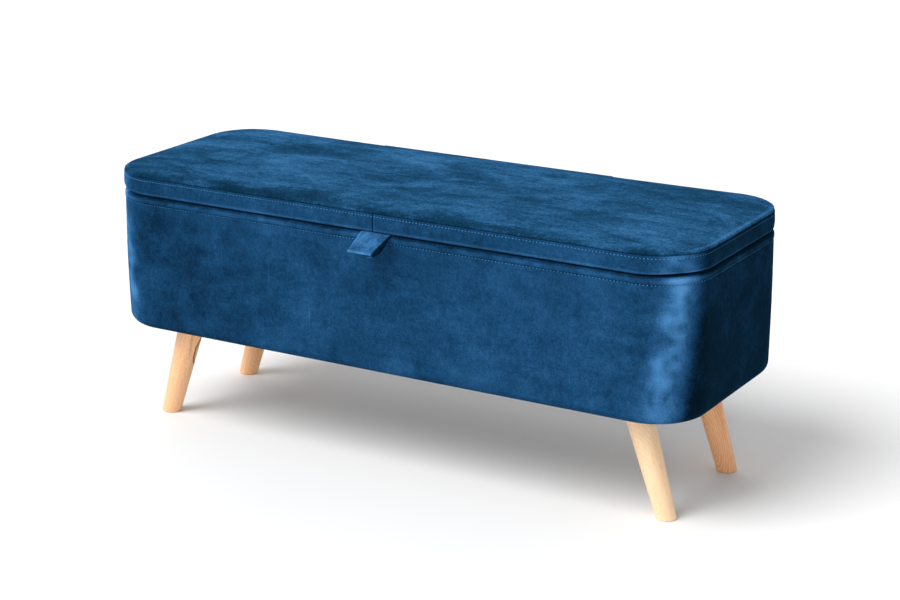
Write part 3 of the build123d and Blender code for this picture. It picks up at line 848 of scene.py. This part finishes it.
def make_tab(material):
    """A strip of velvet folded into a flat loop, its right edge rolled under."""
    width = tab_high.x - tab_low.x + 3 * MM
    root = Vector((tab_low.x, tab_high.y - 1 * MM, (tail_low.z + tail_high.z) / 2))
    bm = bmesh.new()
    bmesh.ops.create_grid(bm, x_segments=40, y_segments=80, size=1.0)
    for v in bm.verts:
        u, loop = (v.co.x + 1) / 2, v.co.y
        side = 1 if loop >= 0 else -1
        along = (1 - abs(loop)) * (TAB_REACH + TAB_HIDDEN) - TAB_HIDDEN
        share = max(0.0, along / TAB_REACH)
        nose = max(0.0, along - (TAB_REACH - 2.2 * MM)) / (2.2 * MM)
        ply = side * 1.5 * MM * sqrt(max(0.0, 1 - nose * nose))
        ply *= 0.62 + 0.38 * min(1.0, max(0.0, (along + 4 * MM) / (14 * MM)))
        across, raised = roll_under(u * width, (0.97 - 0.21 * share) * width, share, ply)
        bend = TAB_DROOP * min(1.0, max(0.0, (along + 3 * MM) / (9 * MM)))
        forward = min(along, 0) + max(0.0, along) * cos(bend)
        raised += 0.4 * MM * noise.noise(Vector((across, along, 0)) * 60.0) * min(1.0, share / 0.2)
        v.co = Vector((
            root.x + across,
            root.y - forward - raised * sin(bend),
            root.z - max(0.0, along) * sin(bend) + raised * cos(bend),
        ))
    bmesh.ops.recalc_face_normals(bm, faces=bm.faces)
    piece = finish_piece("pull_tab_loop", bm, material, None, ["pull_tab", "pull_tab_tail"])
    left, front = root.x, root.y - TAB_REACH * cos(TAB_DROOP)

    def tab_mottle_and_painted_light(co):
        """Mottled, with painted highlights along the left edge and the fold in front, and painted shade past
        the crease.
        """
        crease = left + width * (0.97 - 0.19 * (root.y - co.y) / (root.y - front))
        # Painted shade past the crease; painted highlights on the left edge and the front fold.
        rolled = min(1.0, max(0.0, (co.x - crease) / (1.6 * MM)))
        mottle = 0.6 * noise.noise(co * 60.0) + 0.4 * noise.noise(co * 230.0)
        left_edge = 0.9 * bump_at(co.x, left, 1.5 * MM)
        fold = 0.8 * bump_at(co.y, front, 2.2 * MM)
        return 0.6 + mottle + left_edge + fold - 1.6 * rolled

    mark_painted_light(piece, tab_mottle_and_painted_light)
    thicken(piece, 1.0 * MM)
    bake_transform(piece)


# Finishes of the CAD nodes that stay

def dress(material, *nodes):
    """Give CAD nodes a material."""
    for name in nodes:
        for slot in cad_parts[name].material_slots:
            slot.material = material


def dress_frame():
    """Give every CAD node that stays its material."""
    corners = ("front_left", "front_right", "back_left", "back_right")
    # Each leg's tint is partly its own wood colour and partly painted light: the legs in the box's shadow
    # are set brighter to stand in for the light they miss.
    woods = {
        "front_right": (0.2, (0.96, 0.68, 0.42), (0.92, 0.60, 0.34), (0.98, 0.74, 0.48)),
        "front_left": (0.2, (0.95, 0.54, 0.28), (0.90, 0.47, 0.22), (0.98, 0.60, 0.33)),
        "back_left": (0.3, (0.96, 0.54, 0.27), (0.89, 0.47, 0.22), (1.00, 0.61, 0.33)),
        "back_right": (0.6, (1.00, 0.52, 0.25), (0.92, 0.44, 0.20), (1.00, 0.60, 0.31)),
    }
    for place_name, (arches, *tint) in woods.items():
        low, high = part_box("leg_" + place_name)
        heart = ((low.x + high.x) / 2 + 6 * MM, (low.y + high.y) / 2 - 16 * MM, 0.3 * high.z)
        lean = -LEG_LEAN if "right" in place_name else LEG_LEAN
        hollow = LEG_HOLLOW if place_name == "front_left" else None
        wood = leg_wood("leg_wood_" + place_name, heart, lean, tint, arches, hollow)
        dress(wood, "leg_" + place_name)
    plywood = board_wood("plywood", (0.42, 0.27, 0.14), (0.60, 0.43, 0.25))
    softwood = board_wood("softwood", (0.55, 0.37, 0.19), (0.74, 0.55, 0.33))
    dress(plywood, "front_panel", "back_panel", "left_end_panel", "right_end_panel")
    dress(plywood, "floor_board", "lid_board")
    dress(plywood, *("corner_shell_" + c for c in corners))
    dress(softwood, "panel_dowels", *("leg_block_" + c for c in corners))
    dress(softwood, *("base_rail_" + c for c in ("front", "back", "left", "right", "middle")))
    inner_cloth = nonwoven("box_lining", (0.010, 0.010, 0.012), (0.030, 0.030, 0.034))
    dress(inner_cloth, "side_lining", "floor_lining", "lid_lining")
    dress(nonwoven("underside_cloth", (0.008, 0.008, 0.009), (0.022, 0.022, 0.024)), "dust_cover")
    dress(metal("plate_steel", (0.60, 0.60, 0.58), 0.4), *("leg_plate_" + c for c in corners))
    dress(metal("screw_steel", (0.62, 0.57, 0.42), 0.35), "leg_plate_screws", "hanger_bolts",
          "hinge_body_screws", "hinge_lid_screws")
    dress(metal("hinge_steel", (0.56, 0.56, 0.55), 0.35), *(
        f"hinge_{part}_{side}" for part in ("body_leaf", "lid_leaf", "pin") for side in ("left", "right")
    ))
    dress(rubber(), "lid_bumpers")


# Studio

def aim(thing, target):
    """Turn a lamp to face a point."""
    thing.rotation_euler = (Vector(target) - thing.location).to_track_quat("-Z", "Y").to_euler()


def make_camera():
    """A long lens from the front right, looking down at the bench at about 17 degrees."""
    data = bpy.data.cameras.new("camera")
    data.lens = 86.47
    data.sensor_width = 36.0
    camera = bpy.data.objects.new("camera", data)
    yaw, pitch, roll = 0.538, 0.3043, -0.0039
    turn = Matrix.Rotation(yaw, 3, "Z") @ Matrix.Rotation(pi / 2 - pitch, 3, "X")
    camera.rotation_euler = (turn @ Matrix.Rotation(roll, 3, "Z")).to_euler()
    camera.location = (1.807, -2.9886 + MIDDLE_Y, 1.3478)
    scene.collection.objects.link(camera)
    scene.camera = camera


def area_light(name, location, target, size, power):
    """A rectangular lamp that faces a point."""
    data = bpy.data.lights.new(name, "AREA")
    data.shape = "RECTANGLE"
    data.size, data.size_y = size
    data.energy = power
    light = bpy.data.objects.new(name, data)
    light.location = location
    aim(light, target)
    scene.collection.objects.link(light)


def soft_sun(name, direction, spread, strength):
    """Even light from far off, soft-edged."""
    data = bpy.data.lights.new(name, "SUN")
    data.angle = radians(spread)
    data.energy = strength
    light = bpy.data.objects.new(name, data)
    light.location = direction
    aim(light, (0, 0, 0))
    scene.collection.objects.link(light)


def make_studio():
    """A pale floor and soft light, mostly from the front and above."""
    bm = bmesh.new()
    bmesh.ops.create_grid(bm, x_segments=24, y_segments=24, size=FLOOR_HALF)
    mesh = settle(bm, "floor")
    floor = bpy.data.objects.new("floor", mesh)
    scene.collection.objects.link(floor)
    material, tree, shader = new_material("pale_floor")
    shader.inputs["Roughness"].default_value = 0.9
    shade = noise_at(tree, place(tree), 3.0, 2.0)
    tree.links.new(ramp(tree, shade, [(0.0, 0.90), (1.0, 0.93)]), shader.inputs["Base Color"])
    mesh.materials.append(material)

    world = bpy.data.worlds.new("studio")
    world.use_nodes = True
    background = world.node_tree.nodes["Background"]
    background.inputs["Color"].default_value = (1, 1, 1, 1)
    background.inputs["Strength"].default_value = 0.46
    scene.world = world

    soft_sun("key", (-1.1, -2.0, 2.6), 40, 2.85)
    soft_sun("back_fill", (-2.0, 2.6, 1.2), 60, 0.8)
    area_light("by_camera", (1.9, -3.4, 1.5), (0.4, 0, 0.3), (0.5, 1.4), 16)
    scene.view_settings.view_transform = "Standard"


make_camera()
make_studio()
blue = velvet("side_velvet", SIDE_SHADES, (1.0, 1.0, 1.0), 0.3)
make_box_cover(blue)
make_rim_strip(blue)
make_lid_band(blue)
# The top velvet is a copy of the side velvet painted lighter, with its own stretch and wrinkle.
make_lid_top(velvet("top_velvet", TOP_SHADES, (0.55, 1.0, 1.0), 1.1))
sewing = thread()
make_stitches("rim_stitches", RIM_STITCH, -0.05 * MM, box_swell, "box", sewing)
make_stitches("lid_stitches", LID_STITCH, -0.1 * MM, band_swell, "lid", sewing)
make_tab(blue)
dress_frame()
wire = metal("staple_wire", (0.66, 0.66, 0.64), 0.35)
cover_low, cover_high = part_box("dust_cover")
make_staples(
    "underside_staples", cover_low.z - STAPLE_DROP, HALF_X - cover_high.x + STAPLE_MARGIN, BOX_STAPLE_PITCH,
    "box", wire,
)
lining_low, lining_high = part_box("lid_lining")
make_staples(
    "lid_staples", lining_low.z - STAPLE_DROP, HALF_X - lining_high.x + STAPLE_MARGIN, LID_STAPLE_PITCH,
    "lid", wire,
)
